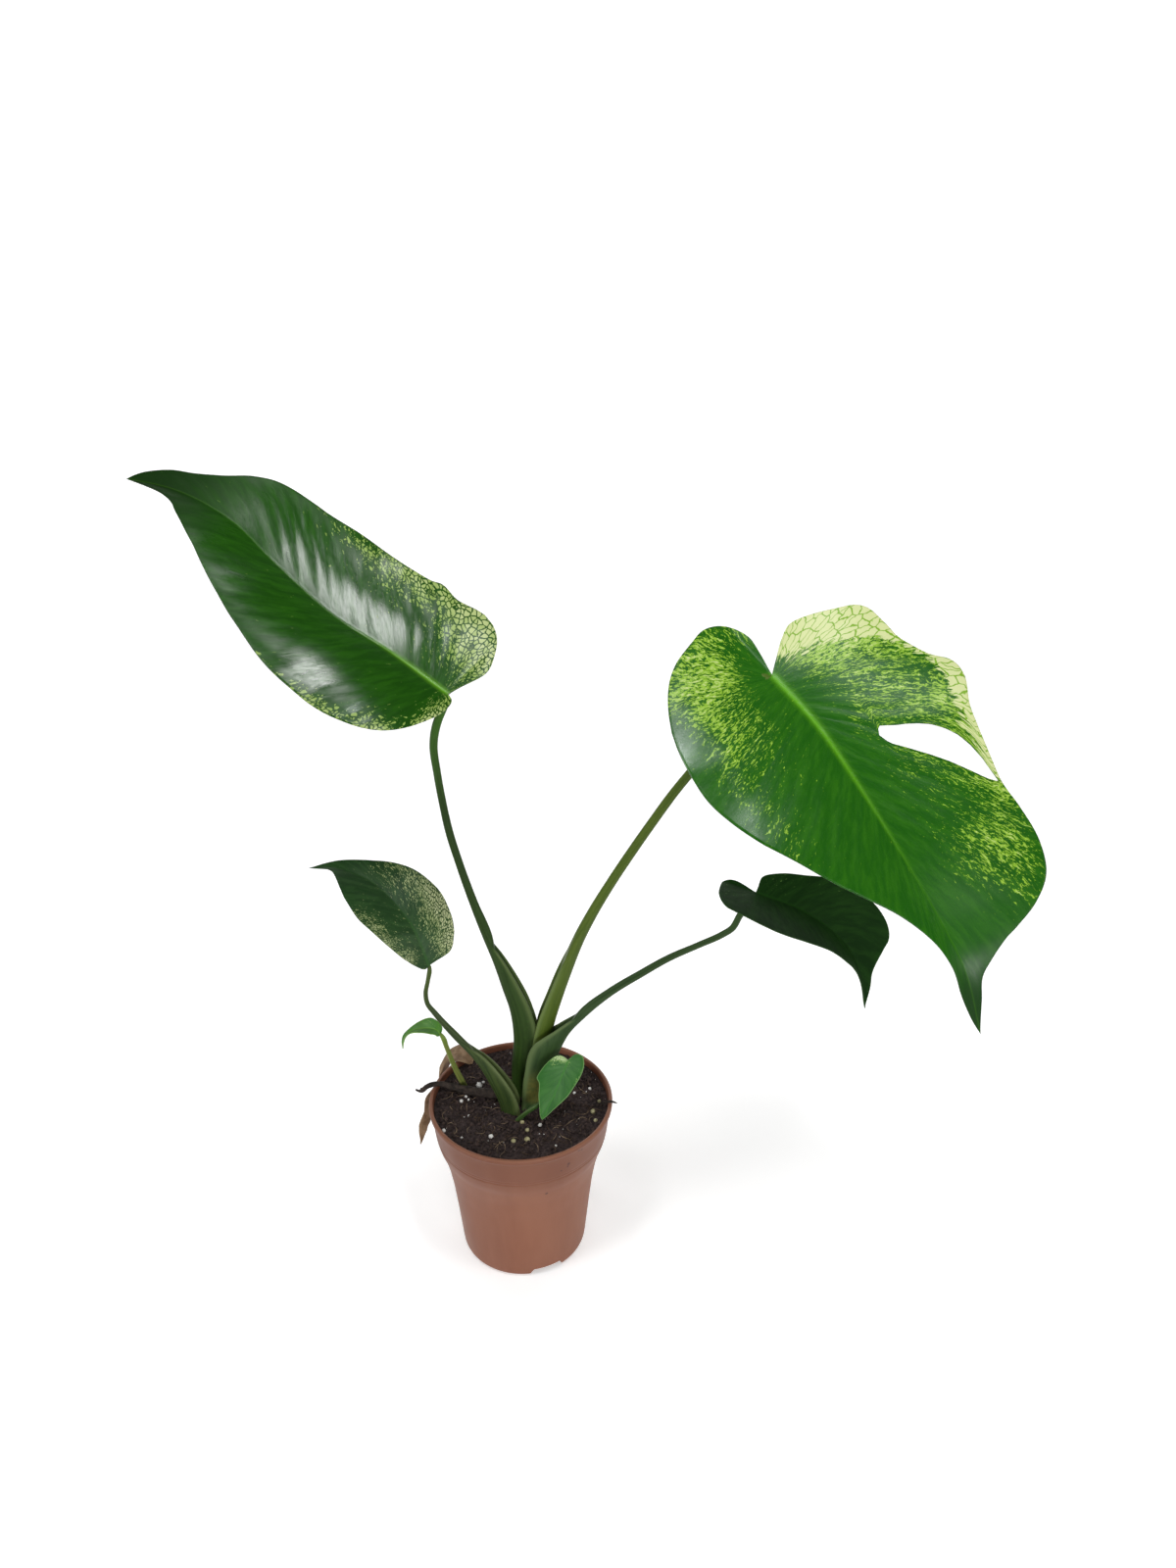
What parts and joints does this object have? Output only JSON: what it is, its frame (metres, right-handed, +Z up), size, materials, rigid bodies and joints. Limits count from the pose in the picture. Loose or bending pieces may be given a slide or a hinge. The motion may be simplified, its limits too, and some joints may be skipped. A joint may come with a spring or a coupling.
{
  "type": "potted devil monster monstera",
  "caption": "Potted monstera with heart-shaped variegated leaves, one with a slit, on sheathed arching stalks in soil, in a small tapered plastic nursery pot",
  "frame": {"origin": "centre of the pot's underside, on the plane that the pot stands on", "axes": "+Z up the pot's axis; -Y is the plant's front, towards which the slit leaf comes forward; the tall unsplit leaf reaches to -X and the slit leaf to +X"},
  "size_m": [0.4959, 0.2211, 0.503],
  "materials": {
    "pot_plastic": "matte terracotta-coloured thin plastic",
    "potting_soil": "dark moist peat with perlite grains and fibres",
    "rootstock": "rough brown stem in the soil",
    "dark_stalk": "smooth dark green stalk with pale wing margins",
    "olive_stalk": "smooth olive green stalk",
    "green_stalk": "smooth light green stalk",
    "dark_leaf": "glossy dark green leaf with cream to yellow-green netted variegation",
    "bright_leaf": "glossy mid-green leaf with a thin pale margin",
    "dry_leaf": "dry tan-brown papery leaf",
    "withered": "blackish brown shrivelled stalk"
  },
  "bodies": {
    "root": {"nursery_pot": "pot_plastic", "potting_soil": "potting_soil", "rootstock": "rootstock", "low_left_stalk": "dark_stalk", "low_left_blade": "dark_leaf", "low_right_stalk": "dark_stalk", "low_right_blade": "dark_leaf", "tall_left_stalk": "dark_stalk", "tall_left_blade": "dark_leaf", "split_right_stalk": "olive_stalk", "split_right_blade": "dark_leaf", "small_front_stalk": "green_stalk", "small_front_blade": "bright_leaf", "small_left_stalk": "green_stalk", "small_left_blade": "bright_leaf", "withered_stalk": "withered", "dry_leaf": "dry_leaf"}
  },
  "joints": []
}
